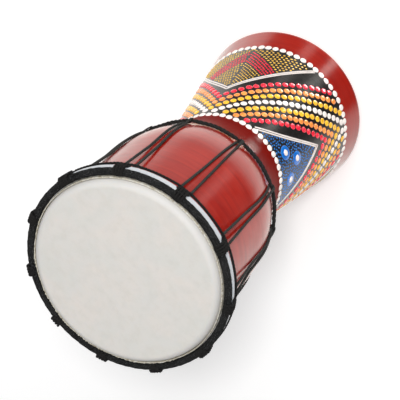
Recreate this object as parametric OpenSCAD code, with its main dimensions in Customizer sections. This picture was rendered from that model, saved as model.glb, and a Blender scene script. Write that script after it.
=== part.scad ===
// Laced goblet hand drum, standing upright on its foot.
// +Z runs up the drum's axis to the playing skin; the origin is the centre of the foot's rim.
// Lengths are in millimetres and angles in degrees. Angles round the drum start at +X.

/* [Drum] */
// Height from the foot's rim to the playing face of the skin
drum_height = 400; // [380:5:440]
// Outside radius of the bowl at its mouth
mouth_r = 95.2; // [93:0.2:95.6]
// Radius where the bowl's wall would meet the shoulder, before rounding
shoulder_r = 89.5; // [87:0.5:91]
// Height of that shoulder corner
shoulder_z = 247; // [240:1:252]
// Radius where the shoulder would meet the foot's flare, before rounding
waist_r = 61.7; // [58:0.1:66]
// Height of that waist corner
waist_z = 188.5; // [184:0.5:194]
// Outside radius of the foot at its rim
foot_r = 89; // [84:0.5:94]
// Wall thickness of the bowl
bowl_wall = 11; // [8:0.5:14]
// Wall thickness at the waist
waist_wall = 14; // [10:0.5:18]
// Wall thickness of the foot at its rim
foot_wall = 10; // [7:0.5:13]

/* [Head] */
// Thickness of the rawhide skin
skin_t = 1.1; // [0.8:0.1:1.2]
// Radius of the steel rod in the flesh hoop
hoop_rod_r = 2.6; // [2.2:0.1:2.8]
// Radius of the crown ring's circle, measured to the middle of its section
crown_circle_r = 102.9; // [102.8:0.1:104]
// Outside radius of the crown ring's section, with its cloth
crown_section_r = 3.9; // [3.5:0.1:4]
// Thickness of the cloth round the crown ring
cloth_t = 0.85; // [0.5:0.05:1.2]

/* [Lacing] */
// Number of crown hitches, and so of lacing runs
hitch_count = 11; // [9:1:11]
// Diameter of the lacing cord on its runs down the bowl
lace_d = 3; // [2.4:0.1:3.2]
// Diameter of the cord that links the crown hitches
link_d = 2.8; // [2.4:0.1:3]
// Diameter of the heavy cord ring round the waist
waist_ring_d = 4.3; // [3.6:0.1:4.4]
// Width of a crown hitch, along the crown ring
hitch_w = 13; // [9:0.5:14]
// Angle of the first hitch
first_hitch = -83.5; // [-90:0.5:-75]
// How far the hand-tied hitches wander from even spacing
hitch_wander = 3.2; // [0:0.1:3.5]

/* [Hidden] */
$fn = 96;

// Clearances: between pieces that lie against each other, between a cord and the wood, and
// between a lacing run and the waist ring that it hooks round
gap = 0.1;
wood_gap = 0.2;
hook_gap = 0.15;
// Slim gap between the skin and what it is stretched over
snug = 0.05;
// Roundings of the shell's section
edge_r = 6;
shoulder_round = 190;
waist_round = 78;
inner_shoulder_round = 150;
inner_waist_round = 60;
rim_round = 5;
small_round = 2;
// How far the bearing edge slopes down to the inside
edge_bevel = 4;

mouth_z = drum_height - skin_t - snug;
flesh_centre = [102, drum_height - 15.7];
flesh_fold_r = hoop_rod_r + snug + skin_t;
crown_centre = [crown_circle_r, drum_height - 8.1];
collar_top = drum_height - 3.8;

// Lacing
lace_r = lace_d / 2;
link_r = link_d / 2;
ring_r = waist_ring_d / 2;
cord_sides = 8;
lace_top = [100.4, drum_height - 20.8];
link_centre = [105.4, drum_height - 19.5];
link_dip = 1.6;
knot_drop = 3.4;
strand_offset = 6;
leave_bowl_z = 312;
ring_low_z = 222.5;
ring_high_z = 226;
run_lean = 5;
// Where a run hooks round the waist ring, both cords are pressed: half the width and half the
// thickness of the run's flattened cord, and the radius of the pinched ring
pressed_half_w = 1.9;
pressed_half_t = 0.6;
pinched_r = 1.7;
// How far above the ring a run is round again, and how far its front strand takes to rise over it
press_length = 14;
rise_length = 16;
// Half the length of ring that keeps clear of the wood at an anchor
anchor_half = 3.6;
hook_steps = 8;
hitch_tip_t = 0.9;
hitch_back_t = 2.8;
knot_r = 3.7;
tail_length = 16;

// ---- Names and small vector helpers ----

function numbered(name, i) = str(name, i < 10 ? "_0" : "_", i);
function unit(v) = v / norm(v);
function angle_of(v) = atan2(v[1], v[0]);
function wrap180(a) = a - 360 * round(a / 360);
function on_circle(centre, r, a) = centre + r * [cos(a), sin(a)];
function arc(centre, r, a0, a1, steps) =
    [for (i = [0 : steps]) on_circle(centre, r, a0 + (a1 - a0) * i / steps)];
// A point at radius r, angle a and height z round the drum's axis
function around(r, a, z) = [r * cos(a), r * sin(a), z];

// ---- Shell section ----

// The arc of radius r that rounds the corner b between a and c
function fillet(a, b, c, r) =
    let (u = unit(a - b), v = unit(c - b), half = acos(u * v) / 2,
         centre = b + unit(u + v) * r / sin(half),
         start = angle_of(b + u * r / tan(half) - centre),
         sweep = wrap180(angle_of(b + v * r / tan(half) - centre) - start),
         steps = ceil(abs(sweep) / (r > 40 ? 2.5 : 10)))
    arc(centre, r, start, start + sweep, steps);

// Corners of the shell's section, each [radius, height, rounding], mouth to rim and back inside
shell_corners = [
    [mouth_r, mouth_z, edge_r],
    [shoulder_r, shoulder_z, shoulder_round],
    [waist_r, waist_z, waist_round],
    [foot_r, 0, rim_round],
    [foot_r - foot_wall, 0, small_round],
    [waist_r - waist_wall, waist_z, inner_waist_round],
    [shoulder_r - bowl_wall, shoulder_z + small_round, inner_shoulder_round],
    [mouth_r - bowl_wall, mouth_z - edge_bevel, small_round]
];
outer_corners = 4;

function corner_arc(i) =
    let (n = len(shell_corners), a = shell_corners[(i + n - 1) % n], b = shell_corners[i],
         c = shell_corners[(i + 1) % n])
    fillet([a[0], a[1]], [b[0], b[1]], [c[0], c[1]], b[2]);

shell_outline = [for (i = [0 : len(shell_corners) - 1]) each corner_arc(i)];
outside_by_height = [for (i = [0 : outer_corners - 1]) for (p = corner_arc(i)) [p[1], p[0]]];

// Outside radius of the shell at a height, and that of a cord's middle lying d off the wood
function shell_r(z) = lookup(z, outside_by_height);
function wood_slope(z) = (shell_r(z + 1) - shell_r(z - 1)) / 2;
function off_wood(z, d) = shell_r(z) + d * norm([1, wood_slope(z)]);

module shell() {
    color("firebrick") rotate_extrude() polygon(shell_outline);
}

// ---- Head ----

// Both sides of a strip of thickness t along a path
function side_of(path, i, d) =
    let (a = path[max(i - 1, 0)], b = path[min(i + 1, len(path) - 1)], u = unit(b - a))
    path[i] + d * [-u[1], u[0]];
function strip(path, t) = concat(
    [for (i = [0 : len(path) - 1]) side_of(path, i, t / 2)],
    [for (i = [len(path) - 1 : -1 : 0]) side_of(path, i, -t / 2)]
);

// Middle of the skin: across the head, over the bearing edge, round the flesh hoop and up
// again inside the crown ring, where its trimmed end stands as a collar
edge_centre = [mouth_r - edge_r, mouth_z - edge_r];
skin_path = concat(
    [[0, edge_centre[1] + edge_r + snug + skin_t / 2]],
    arc(edge_centre, edge_r + snug + skin_t / 2, 90, 5, 9),
    arc(flesh_centre, hoop_rod_r + snug + skin_t / 2, 175, 495, 32),
    [[98.4, crown_centre[1] - 2], [98.1, crown_centre[1] + 1], [98.2, collar_top]]
);

module drum_skin() {
    color("linen") rotate_extrude() polygon(strip(skin_path, skin_t));
}

module ring(centre, r) {
    rotate_extrude() translate(centre) circle(r = r, $fn = 48);
}

module flesh_hoop() {
    color("silver") ring(flesh_centre, hoop_rod_r);
}

module crown_ring_core() {
    color("silver") ring(crown_centre, crown_section_r - cloth_t - snug);
}

// A sleeve of cloth, its two edges meeting in a seam that faces the flesh hoop
module crown_ring_cloth() {
    seam = 0.4;
    color("black") rotate_extrude() translate(crown_centre) difference() {
        circle(r = crown_section_r, $fn = 48);
        circle(r = crown_section_r - cloth_t, $fn = 48);
        translate([-seam / 2, -crown_section_r - gap]) square([seam, crown_section_r]);
    }
}

// ---- Lacing ----

// Angle of hitch i, and the lean of its run towards its anchor on the waist ring
function hitch_angle(i) =
    let (even = first_hitch + 360 * (i - 1) / hitch_count) even + hitch_wander * cos(even);
function anchor_angle(i) =
    let (a = hitch_angle(i)) a - 1.5 + run_lean * sin(2 * (a + 80));

// Half the angle that a width takes up at a radius
function half_angle(width, r) = asin(width / 2 / r);

// A tube along a path of points, with flat ends, or joined to itself when closed. halves gives
// half the width and half the thickness at each point. The cross-section's first axis is squared
// to the direction that runs round the drum, or to the outward direction when along is true.
function tangent_at(path, i, closed) =
    let (n = len(path))
    closed ? unit(path[(i + 1) % n] - path[(i + n - 1) % n])
           : unit(path[min(i + 1, n - 1)] - path[max(i - 1, 0)]);
function section_axis(p, t, along) =
    let (out = unit([p[0], p[1], 0]), side = [-out[1], out[0], 0], guide = along ? out : side)
    unit(guide - (guide * t) * t);

module tube(path, halves, along = false, closed = false) {
    n = len(path);
    m = cord_sides;
    points = [for (i = [0 : n - 1])
        let (t = tangent_at(path, i, closed), u = section_axis(path[i], t, along),
             v = cross(t, u), half = halves[i])
        for (k = [0 : m - 1])
            path[i] + half[0] * cos(360 * k / m) * u + half[1] * sin(360 * k / m) * v];
    walls = [for (i = [0 : closed ? n - 1 : n - 2]) for (k = [0 : m - 1])
        let (next = (i + 1) % n * m, here = i * m, kk = (k + 1) % m)
        each [[here + k, next + k, next + kk], [here + k, next + kk, here + kk]]];
    caps = closed ? [] : [
        [for (k = [0 : m - 1]) k],
        [for (k = [m - 1 : -1 : 0]) (n - 1) * m + k]
    ];
    polyhedron(points, concat(walls, caps));
}

// Section of a crown hitch: thick cord over the crown ring and down past the skin's fold,
// flattened where it tucks in behind the crown ring
hitch_over = crown_section_r + gap;
hitch_under = flesh_fold_r + gap;
function hitch_t(a) = a < 90 ? hitch_back_t
    : hitch_back_t + (hitch_tip_t - hitch_back_t) * (a - 90) / 50;
hitch_section = concat(
    [for (a = [140 : -10 : -10]) on_circle(crown_centre, hitch_over + hitch_t(a), a)],
    arc(flesh_centre, hitch_under + hitch_back_t, -5, -65, 6),
    arc(flesh_centre, hitch_under, -65, 5, 7),
    [for (a = [-25 : 15 : 140]) on_circle(crown_centre, hitch_over, a)]
);

module crown_hitch(i) {
    half = half_angle(hitch_w, crown_circle_r);
    color("black") rotate([0, 0, hitch_angle(i) - half])
        rotate_extrude(angle = 2 * half) polygon(hitch_section);
}

// One length of link cord between two angles, drawn down at its ends by dip0 and dip1
module link_span(a0, a1, dip0 = link_dip, dip1 = link_dip) {
    steps = 8;
    path = [for (k = [0 : steps])
        let (f = k / steps, dip = pow(1 - f, 3) * dip0 + pow(f, 3) * dip1)
        around(link_centre[0], a0 + (a1 - a0) * f, link_centre[1] - dip)];
    tube(path, [for (p = path) [link_r, link_r]], along = true);
}

// The knot closes the span opposite the first hitch. side_gap is an angle
side_gap = 0.3;
knot_span = floor(hitch_count / 2) + 1;
function span_start(i) = hitch_angle(i) + half_angle(hitch_w, link_centre[0]) + side_gap;
function span_end(i) = hitch_angle(i + 1) - half_angle(hitch_w, link_centre[0]) - side_gap;
knot_angle = (span_start(knot_span) + span_end(knot_span)) / 2;
knot_half = half_angle(2 * knot_r, link_centre[0]) + side_gap;

module crown_link_cord() {
    color("black") for (i = [1 : hitch_count]) {
        if (i == knot_span) {
            link_span(span_start(i), knot_angle - knot_half, dip1 = knot_drop);
            link_span(knot_angle + knot_half, span_end(i), dip0 = knot_drop);
        } else {
            link_span(span_start(i), span_end(i));
        }
    }
}

// Half the width and half the thickness of a run's cord at a height: round on the bowl, and
// pressed flat towards the waist ring
function pressed(z) = min(1, max(0, 1 - (z - ring_high_z) / press_length));
function half_w(z) = lace_r + (pressed_half_w - lace_r) * pressed(z);
function half_t(z) = lace_r + (pressed_half_t - lace_r) * pressed(z);

// Radius of the hook's turn, and the place of the waist ring's middle inside it
hook_r = pinched_r + hook_gap + pressed_half_t;
anchor_r = off_wood(ring_high_z, wood_gap + pressed_half_t + hook_r);
wood_lean = atan(wood_slope(ring_high_z));

// A strand from the crown to the waist ring: straight from the crown to the bowl's bulge, then
// along the wood. The front strand rises off the wood to pass over the ring.
function lie_r(z) = off_wood(z, wood_gap + half_t(z));
function strand_r(z, lift) =
    let (touch_r = lie_r(leave_bowl_z), free = (z - leave_bowl_z) / (lace_top[1] - leave_bowl_z),
         near = max(0, 1 - (z - ring_high_z) / rise_length))
    z > leave_bowl_z ? max(lie_r(z), touch_r + (lace_top[0] - touch_r) * free)
                     : off_wood(z, wood_gap + half_t(z) + lift * near);
strand_heights = [
    lace_top[1], 365, 345, 325, leave_bowl_z, 300, 285, 270, 255, 246, 241, 236, 230
];
anchor_turn = half_angle(2 * pressed_half_w + gap, anchor_r);
function strand(i, side, lift) =
    let (top = hitch_angle(i) + side * half_angle(2 * strand_offset, lace_top[0]),
         bottom = anchor_angle(i) + side * anchor_turn)
    [for (z = strand_heights)
        let (f = (z - ring_high_z) / (lace_top[1] - ring_high_z))
        around(strand_r(z, lift), bottom + (top - bottom) * f, z)];

// A lacing run: down in front of the waist ring, under it, and back up behind it
module lacing_run(i) {
    front = strand(i, -1, 2 * hook_r);
    back = strand(i, 1, 0);
    first_turn = 16;
    hook = [for (k = [0 : hook_steps])
        let (a = first_turn - (180 + first_turn) * k / hook_steps - wood_lean,
             p = on_circle([anchor_r, ring_high_z], hook_r, a))
        around(p[0], anchor_angle(i) + anchor_turn * (2 * k / hook_steps - 1), p[1])];
    path = concat(front, hook, [for (k = [len(back) - 1 : -1 : 0]) back[k]]);
    color("dimgray") tube(path, [for (p = path) [half_w(p[2]), half_t(p[2])]]);
}

// The waist ring: held off the wood by the hook at an anchor, and lying on the wood between
// anchors, lowest halfway
anchor_span = half_angle(2 * anchor_half, anchor_r);
ring_path = [for (i = [1 : hitch_count])
    let (a0 = anchor_angle(i) + anchor_span, a1 = anchor_angle(i + 1) - anchor_span)
    for (f = [0, 0.2, 0.4, 0.6, 0.8, 1])
        let (z = ring_high_z - (ring_high_z - ring_low_z) * sin(180 * f),
             r = f == 0 || f == 1 ? anchor_r : off_wood(z, ring_r + wood_gap))
        around(r, a0 + (a1 - a0) * f, z)];
ring_halves = [for (i = [1 : hitch_count])
    each [for (r = [pinched_r, ring_r, ring_r, ring_r, ring_r, pinched_r]) [r, r]]];

module waist_ring() {
    color("black") tube(ring_path, ring_halves, along = true, closed = true);
}

// The cord's two ends, knotted together on the link cord, with short tails against the bowl
module tie_off_knot() {
    color("black") translate(around(link_centre[0], knot_angle, link_centre[1] - knot_drop))
        rotate([0, 0, knot_angle]) {
        sphere(r = knot_r, $fn = 48);
        for (lean = [-16, 14]) rotate([lean, 0, 0])
            translate([0, 0, -tail_length]) cylinder(r = link_r, h = tail_length, $fn = 32);
    }
}

shell();
drum_skin();
flesh_hoop();
crown_ring_core();
crown_ring_cloth();
for (i = [1 : hitch_count]) crown_hitch(i);
crown_link_cord();
for (i = [1 : hitch_count]) lacing_run(i);
waist_ring();
tie_off_knot();
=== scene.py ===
"""Looks for the laced goblet drum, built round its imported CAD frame.

The drum stands on its foot at the origin with +Z up its axis. Sizes in this script are in
millimetres, as in the part's source, and become metres only when a mesh is made. Materials, lamps
and the camera are in metres.
"""
import bisect
import math
import random

import bmesh
import bpy
from mathutils import Matrix, Vector, noise


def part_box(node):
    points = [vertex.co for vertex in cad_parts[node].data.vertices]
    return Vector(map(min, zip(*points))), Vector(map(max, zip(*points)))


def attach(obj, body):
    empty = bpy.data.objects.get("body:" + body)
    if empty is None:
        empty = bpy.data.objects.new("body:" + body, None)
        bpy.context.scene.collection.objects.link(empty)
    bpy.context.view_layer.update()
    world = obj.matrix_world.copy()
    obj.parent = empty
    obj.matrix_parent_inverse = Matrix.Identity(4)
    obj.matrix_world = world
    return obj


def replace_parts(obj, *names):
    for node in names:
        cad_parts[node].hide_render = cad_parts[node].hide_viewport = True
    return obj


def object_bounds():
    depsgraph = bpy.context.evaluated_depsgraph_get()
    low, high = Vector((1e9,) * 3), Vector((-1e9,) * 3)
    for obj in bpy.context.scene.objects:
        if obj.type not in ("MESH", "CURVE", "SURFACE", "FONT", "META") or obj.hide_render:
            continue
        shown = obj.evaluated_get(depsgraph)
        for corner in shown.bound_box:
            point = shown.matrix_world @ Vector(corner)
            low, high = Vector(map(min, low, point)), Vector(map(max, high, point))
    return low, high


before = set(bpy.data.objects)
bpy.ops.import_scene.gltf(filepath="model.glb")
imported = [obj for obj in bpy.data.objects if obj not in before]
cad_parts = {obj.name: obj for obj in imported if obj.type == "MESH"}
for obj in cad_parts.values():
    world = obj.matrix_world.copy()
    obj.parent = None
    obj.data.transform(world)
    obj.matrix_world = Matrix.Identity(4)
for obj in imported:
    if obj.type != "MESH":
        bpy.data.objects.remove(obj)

MM = 0.001
TAU = 2 * math.pi

cad_low, cad_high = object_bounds()


# ---- sizes read from the frame ----

def node_angle(node):
    """Angle of a CAD node round the drum's axis, in degrees."""
    points = [v.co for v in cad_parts[node].data.vertices]
    return math.degrees(math.atan2(sum(p.y for p in points), sum(p.x for p in points)))


def section_of_ring(node):
    """Circle radius, height and section radius of a ring whose axis is +Z, in millimetres."""
    low, high = (Vector(corner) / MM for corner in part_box(node))
    section = (high.z - low.z) / 2
    return high.x - section, (low.z + high.z) / 2, section


HITCHES = sorted(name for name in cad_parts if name.startswith("crown_hitch_"))
RUNS = sorted(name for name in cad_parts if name.startswith("lacing_run_"))
HITCH_ANGLES = [node_angle(name) for name in HITCHES]
DRUM_HEIGHT = cad_high.z / MM
CROWN_R, CROWN_Z, CROWN_SECTION = section_of_ring("crown_ring_cloth")
HOOP_R, HOOP_Z, HOOP_ROD = section_of_ring("flesh_hoop")

# Sizes that the frame's boxes don't give, as in the part's source
SKIN_T = 1.1
SNUG = 0.05  # between the skin and what it wraps
MOUTH_R = 95.2
MOUTH_Z = DRUM_HEIGHT - SKIN_T - SNUG
FOOT_R = 89
EDGE_R = 6
SHELL_CORNERS = [  # (radius, height, radius of the rounding)
    (MOUTH_R, MOUTH_Z, EDGE_R),
    (89.5, 247, 190),
    (61.7, 188.5, 78),
    (FOOT_R, 0, 5),
    (FOOT_R - 10, 0, 2),
    (47.7, 188.5, 60),
    (78.5, 249, 150),
    (MOUTH_R - 11, MOUTH_Z - 4, 2),
]
OUTER_CORNERS = 4  # the first ones, from the mouth to the foot
LACE_D = 3.0
LINK_D = 2.8
WAIST_RING_D = 4.3
WOOD_GAP = 0.2  # between a cord and the wood
GAP = 0.1  # between the two strands in a hook
PRESSED_HALF_W, PRESSED_HALF_T = 1.9, 0.6  # a run's flattened cord, where it hooks the ring
PINCHED_R = 1.7  # the waist ring's radius inside a hook
HOOK_GAP = 0.15  # between the hook and the ring
PRESS_LENGTH, RISE_LENGTH = 14, 16  # heights in which a run flattens and a strand lifts
ANCHOR_HALF = 3.6  # half the ring's straight stretch at a hook
STRAND_OFFSET = 6  # from a hitch's middle to the top of a strand
LEAVE_BOWL_Z = 312
RING_HIGH_Z, RING_LOW_Z = 226, 222.5  # the waist ring at a hook and between two hooks
LACE_TOP_R, LACE_TOP_Z = 100.4, DRUM_HEIGHT - 20.8
LINK_R, LINK_Z = 105.4, DRUM_HEIGHT - 19.5
LINK_DIP = 1.6
KNOT_DROP = 3.4
KNOT_D = 2.6
HITCH_W = 13


# ---- outline of the shell ----

def on_circle(centre, radius, angle):
    """The point of a circle in the plane of radius and height, at an angle in degrees."""
    a = math.radians(angle)
    return Vector(centre) + radius * Vector((math.cos(a), math.sin(a)))


def arc(centre, radius, start, stop, step=1.2):
    """Points on a circle between two angles in degrees, about step millimetres apart."""
    count = max(4, int(abs(math.radians(stop - start)) * radius / step))
    return [on_circle(centre, radius, start + (stop - start) * i / count)
            for i in range(count + 1)]


def fillet(a, b, c, radius):
    """Points of the arc that rounds corner b between a and c."""
    a, b, c = Vector(a), Vector(b), Vector(c)
    u, v = (a - b).normalized(), (c - b).normalized()
    half = math.acos(u.dot(v)) / 2
    centre = b + (u + v).normalized() * radius / math.sin(half)
    first = b + u * radius / math.tan(half) - centre
    last = b + v * radius / math.tan(half) - centre
    start = math.degrees(math.atan2(first.y, first.x))
    sweep = math.degrees(math.atan2(last.y, last.x)) - start
    return arc(centre, radius, start, start + sweep - 360 * round(sweep / 360))


def corner_arc(i):
    """The rounding of one corner of the shell's outline."""
    a, b, c = (SHELL_CORNERS[(i + k) % len(SHELL_CORNERS)] for k in (-1, 0, 1))
    return fillet(a[:2], b[:2], c[:2], b[2])


def filled_in(points, step):
    """The same open line with no two neighbouring points more than step apart."""
    result = []
    for a, b in zip(points, points[1:]):
        count = max(1, math.ceil((b - a).length / step))
        result += [a.lerp(b, k / count) for k in range(count)]
    return result + [points[-1]]


OUTSIDE = [p for i in range(OUTER_CORNERS) for p in corner_arc(i)]
BY_HEIGHT = sorted((p.y, p.x) for p in OUTSIDE if p.x > 60)
HEIGHTS = [z for z, _ in BY_HEIGHT]


def held(value, low=0, high=1):
    """The value, or the nearer of two limits if it is beyond them."""
    return min(max(value, low), high)


def shell_r(z):
    """Outside radius of the shell at height z."""
    i = held(bisect.bisect(HEIGHTS, z), 1, len(HEIGHTS) - 1)
    (z0, r0), (z1, r1) = BY_HEIGHT[i - 1], BY_HEIGHT[i]
    return r0 + (r1 - r0) * (held(z, z0, z1) - z0) / max(z1 - z0, 1e-9)


def wood_slope(z):
    return (shell_r(z + 1) - shell_r(z - 1)) / 2


def off_wood(z, distance):
    """Radius at height z of a point that lies distance off the wood."""
    return shell_r(z) + distance * math.hypot(1, wood_slope(z))


def turned_to(r, turn, z):
    """The point at radius r, turn in radians round the axis, and height z."""
    return Vector((r * math.cos(turn), r * math.sin(turn), z))


def around(r, angle, z):
    """The point at radius r, angle in degrees and height z."""
    return turned_to(r, math.radians(angle), z)


def half_angle(width, r):
    """Half of the angle that a width takes up at a radius, in degrees."""
    return math.degrees(math.asin(width / 2 / r))


def apart(a, b):
    """How far apart two angles in degrees are, the shorter way round."""
    return abs((a - b + 180) % 360 - 180)


# ---- mesh helpers ----

STRANDS = 3  # in every cord


def lengths_round(radius, sides):
    """Lengths round a circle to each of its points and back to the first."""
    return [TAU * radius * k / sides for k in range(sides + 1)]


class Solid:
    """Vertices, faces and texture coordinates gathered for one object."""

    def __init__(self):
        self.vertices, self.faces, self.uvs, self.slots = [], [], [], []

    def face(self, corners, uvs, slot=0):
        self.faces.append(tuple(corners))
        self.uvs += uvs
        self.slots.append(slot)

    def cap(self, corners):
        self.face(corners, [(0, 0)] * len(corners))

    def grid(self, rows, across, along, closed=False, slots=None):
        """Quads between rings of points, which close on each other or get a flat face at each end.

        across and along are the lengths that texture coordinates give to columns and rows.
        """
        first, width, count = len(self.vertices), len(rows[0]), len(rows)
        for row in rows:
            self.vertices += row
        for i in range(count if closed else count - 1):
            here, there = first + i * width, first + (i + 1) % count * width
            for k in range(width):
                m = (k + 1) % width
                self.face((here + k, here + m, there + m, there + k),
                          [(across[k], along[i]), (across[k + 1], along[i]),
                           (across[k + 1], along[i + 1]), (across[k], along[i + 1])],
                          slots[i] if slots else 0)
        if not closed:
            self.cap([first + k for k in reversed(range(width))])
            self.cap([first + (count - 1) * width + k for k in range(width)])

    def tube(self, centres, frames, radius, sides, closed=False):
        """A round tube along a line of points, with flat ends."""
        rows, along = [], [0.0]
        for i, (centre, (_, u, v)) in enumerate(zip(centres, frames)):
            rows.append([centre + radius * (math.cos(TAU * k / sides) * u
                                            + math.sin(TAU * k / sides) * v)
                         for k in range(sides)])
            along.append(along[-1] + (centres[(i + 1) % len(centres)] - centre).length)
        self.grid(rows, lengths_round(radius, sides), along, closed)

    def cord(self, points, diameter, pitch, sides=8, closed=False, phase=0.0, fill=1.16, fine=9,
             press=None):
        """A laid cord: strands twisted round a path, one full turn every pitch millimetres.

        fill is how fat the strands are for the room they have, and fine the number of rings in a
        turn. press(point) gives the shares left of width and of thickness where it is squeezed.
        """
        path = smooth_path(points, pitch / fine, closed)
        frames = frames_along(path, closed)
        steps = [(b - a).length for a, b in zip(path, path[1:])]
        length = sum(steps) + ((path[0] - path[-1]).length if closed else 0)
        if closed:
            pitch = length / round(length / pitch)
        strand_r = diameter / 2 / (1 + 1 / math.sin(math.pi / STRANDS)) * fill
        orbit = diameter / 2 - strand_r
        closing = closing_angle(frames) if closed else 0.0
        for s in range(STRANDS):
            centres, run = [], 0.0
            for i, (p, (_, u, v)) in enumerate(zip(path, frames)):
                a = TAU * (run / pitch + s / STRANDS) + phase + closing * run / length
                centres.append(p + orbit * (math.cos(a) * u + math.sin(a) * v))
                run += steps[i] if i < len(steps) else 0
            first = len(self.vertices)
            self.tube(centres, frames_along(centres, closed), strand_r, sides, closed)
            if press:
                self.squeeze(path, frames, press, first, sides)

    def squeeze(self, path, frames, press, first, sides):
        """Flattens the tube whose rows of vertices start at first, one row for each path point."""
        for i, (p, (tangent, _, _)) in enumerate(zip(path, frames)):
            wide, thick = press(p)
            level = Vector((-p.y, p.x, 0)).normalized()
            level = (level - tangent * level.dot(tangent)).normalized()
            off = tangent.cross(level)
            for k in range(first + i * sides, first + (i + 1) * sides):
                d = self.vertices[k] - p
                self.vertices[k] = p + tangent * d.dot(tangent) + level * (d.dot(level) * wide) \
                    + off * (d.dot(off) * thick)

    def build(self, name, slot, *materials):
        """The gathered mesh as an object that rides on the drum's only body."""
        mesh = bpy.data.meshes.new(name)
        mesh.from_pydata([v * MM for v in self.vertices], [], self.faces)
        layer = mesh.uv_layers.new(name="surface")
        layer.data.foreach_set("uv", [c * MM for uv in self.uvs for c in uv])
        mesh.polygons.foreach_set("use_smooth", [True] * len(mesh.polygons))
        for material in materials:
            mesh.materials.append(material)
        mesh.polygons.foreach_set("material_index", self.slots)
        shape = bmesh.new()
        shape.from_mesh(mesh)
        bmesh.ops.recalc_face_normals(shape, faces=shape.faces)
        shape.to_mesh(mesh)
        shape.free()
        mesh.update()
        piece = bpy.data.objects.new(name, mesh)
        bpy.context.scene.collection.objects.link(piece)
        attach(piece, "root")
        return piece


def rings(count, segments, at):
    """Rings round the drum's axis. at(i, turn) gives ring i's radius and height at a turn."""
    rows = []
    for i in range(count):
        turns = [TAU * k / segments for k in range(segments)]
        places = [(at(i, turn), turn) for turn in turns]
        rows.append([turned_to(r, turn, z) for (r, z), turn in places])
    return rows


def turned(solid, outline, segments, closed=True, slots=None, wobble=lambda turn, r, z: 0):
    """A solid of revolution from (radius, height) points. wobble(turn, r, z) adds to the radius."""
    rows = rings(len(outline), segments,
                 lambda i, turn: (outline[i].x + wobble(turn, *outline[i]), outline[i].y))
    along = [0.0]
    for p, q in zip(outline, outline[1:] + outline[:1]):
        along.append(along[-1] + (q - p).length)
    solid.grid(rows, lengths_round(CROWN_R, segments), along, closed, slots)


def along_path(points, i, closed=False):
    """Point i of a path, counted on round a closed one, or no further than an open one's ends."""
    return points[i % len(points) if closed else held(i, 0, len(points) - 1)]


def smooth_path(points, step, closed=False):
    """Catmull-Rom curve through points, resampled about every step millimetres."""
    points = [Vector(p) for p in points]
    fine = []
    for i in range(len(points) if closed else len(points) - 1):
        p0, p1, p2, p3 = (along_path(points, i + k, closed) for k in (-1, 0, 1, 2))
        parts = max(2, int((p2 - p1).length / step))
        for k in range(parts):
            t = k / parts
            fine.append(0.5 * (2 * p1 + (p2 - p0) * t + (2 * p0 - 5 * p1 + 4 * p2 - p3) * t * t
                               + (3 * p1 - p0 - 3 * p2 + p3) * t ** 3))
    if not closed:
        fine.append(points[-1])
    return fine


def frames_along(path, closed=False):
    """Tangent and two side directions at each point, carried along with no twist of their own."""
    result = []
    side = None
    for i in range(len(path)):
        tangent = (along_path(path, i + 1, closed) - along_path(path, i - 1, closed)).normalized()
        if side is None:
            side = tangent.orthogonal().normalized()
        side = (side - tangent * side.dot(tangent)).normalized()
        result.append((tangent, side, tangent.cross(side)))
    return result


def closing_angle(frames):
    """How far the carried directions have turned when a closed path is back at its start."""
    tangent, u, v = frames[0]
    side = frames[-1][1]
    side = (side - tangent * side.dot(tangent)).normalized()
    return -math.atan2(side.dot(v), side.dot(u))


# ---- material helpers ----

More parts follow.
